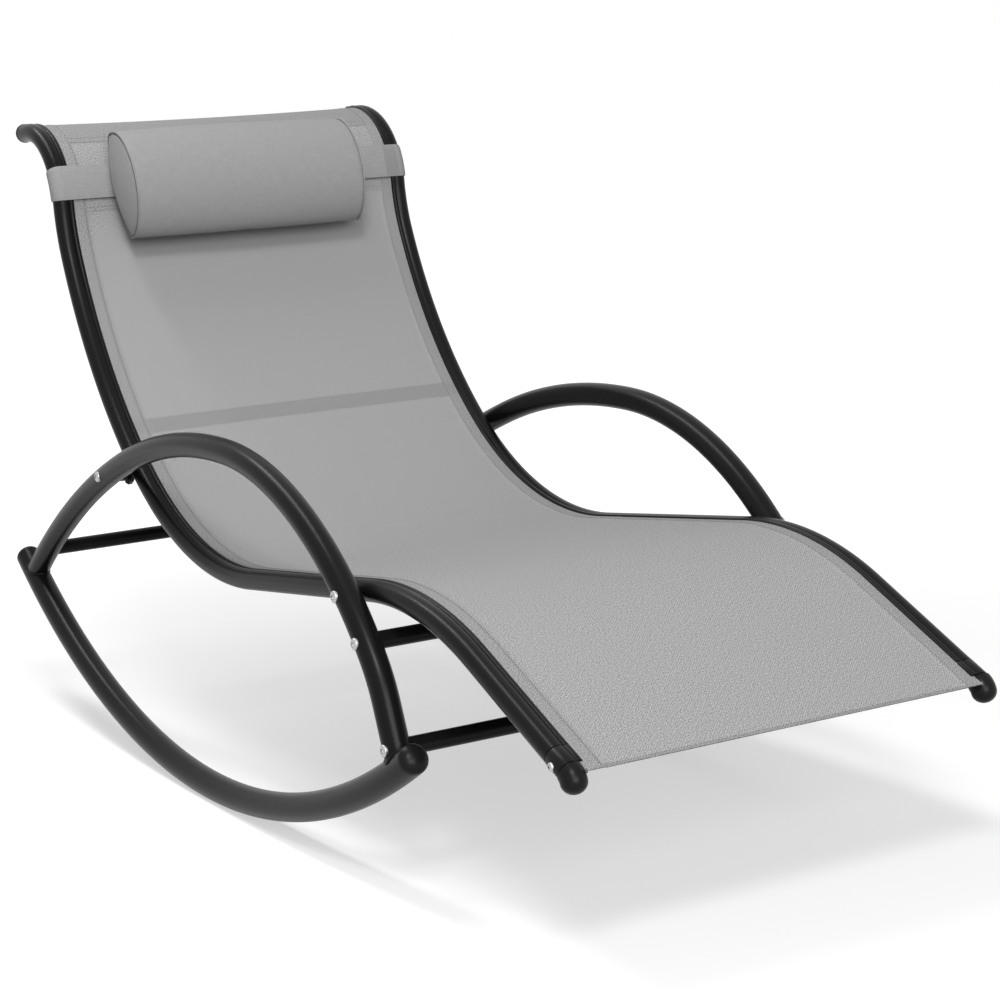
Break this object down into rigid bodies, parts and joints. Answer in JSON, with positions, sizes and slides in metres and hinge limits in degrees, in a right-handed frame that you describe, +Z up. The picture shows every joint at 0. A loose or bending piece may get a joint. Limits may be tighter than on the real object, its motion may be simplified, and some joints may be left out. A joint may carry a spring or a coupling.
{
  "type": "rocking chaise lounge",
  "caption": "Rocking lounger: curved tube rails carry a stretched sling, hoops make arms and legs, arched rockers stand on the floor, and a strap holds a head pillow.",
  "frame": {"origin": "on the floor, midway along the chair and between its sides", "axes": "+Y along the chair toward the head end, +Z up, +X across the chair; the side at -X is called left"},
  "size_m": [0.6332, 1.5218, 0.8695],
  "materials": {
    "frame_metal": "satin powder coat, charcoal black",
    "end_cap_plastic": "moulded, fine satin, black",
    "fasteners": "plated steel",
    "sling_fabric": "open woven outdoor mesh, warm grey",
    "edge_cord": "smooth extruded cord",
    "pillow_fabric": "fine woven outdoor cover, grey",
    "strap_fabric": "woven elastic band, grey"
  },
  "bodies": {
    "frame": {"seat_rail_left": "frame_metal", "arm_hoop_left": "frame_metal", "rocker_left": "frame_metal", "rear_bracket_left": "frame_metal", "rail_foot_cap_left": "end_cap_plastic", "rail_head_cap_left": "end_cap_plastic", "rocker_rear_cap_left": "end_cap_plastic", "rocker_front_cap_left": "end_cap_plastic", "seat_rail_right": "frame_metal", "arm_hoop_right": "frame_metal", "rocker_right": "frame_metal", "rear_bracket_right": "frame_metal", "rail_foot_cap_right": "end_cap_plastic", "rail_head_cap_right": "end_cap_plastic", "rocker_rear_cap_right": "end_cap_plastic", "rocker_front_cap_right": "end_cap_plastic", "cross_bar_front_lower": "frame_metal", "cross_bar_middle": "frame_metal", "cross_bar_rear_upper": "frame_metal", "cross_bar_rear_lower": "frame_metal", "spreader_bar_foot": "frame_metal", "spreader_bar_head": "frame_metal", "bolt_front_lower_left": "fasteners", "bolt_middle_left": "fasteners", "bolt_rear_upper_left": "fasteners", "bolt_crossing_left": "fasteners", "nut_crossing_left": "fasteners", "foot_screw_left": "fasteners", "bolt_front_lower_right": "fasteners", "bolt_middle_right": "fasteners", "bolt_rear_upper_right": "fasteners", "bolt_crossing_right": "fasteners", "nut_crossing_right": "fasteners", "foot_screw_right": "fasteners", "sling": "sling_fabric", "edge_cord_left": "edge_cord", "edge_cord_right": "edge_cord"},
    "pillow": {"pillow": "pillow_fabric", "pillow_strap": "strap_fabric"}
  },
  "joints": [
    {"name": "pillow_slide_over_head", "type": "hinge", "parent": "frame", "child": "pillow", "pos_m": [0, 0.6705, 0.7501], "axis": [-1, 0, 0], "range_deg": [0, 50]}
  ]
}
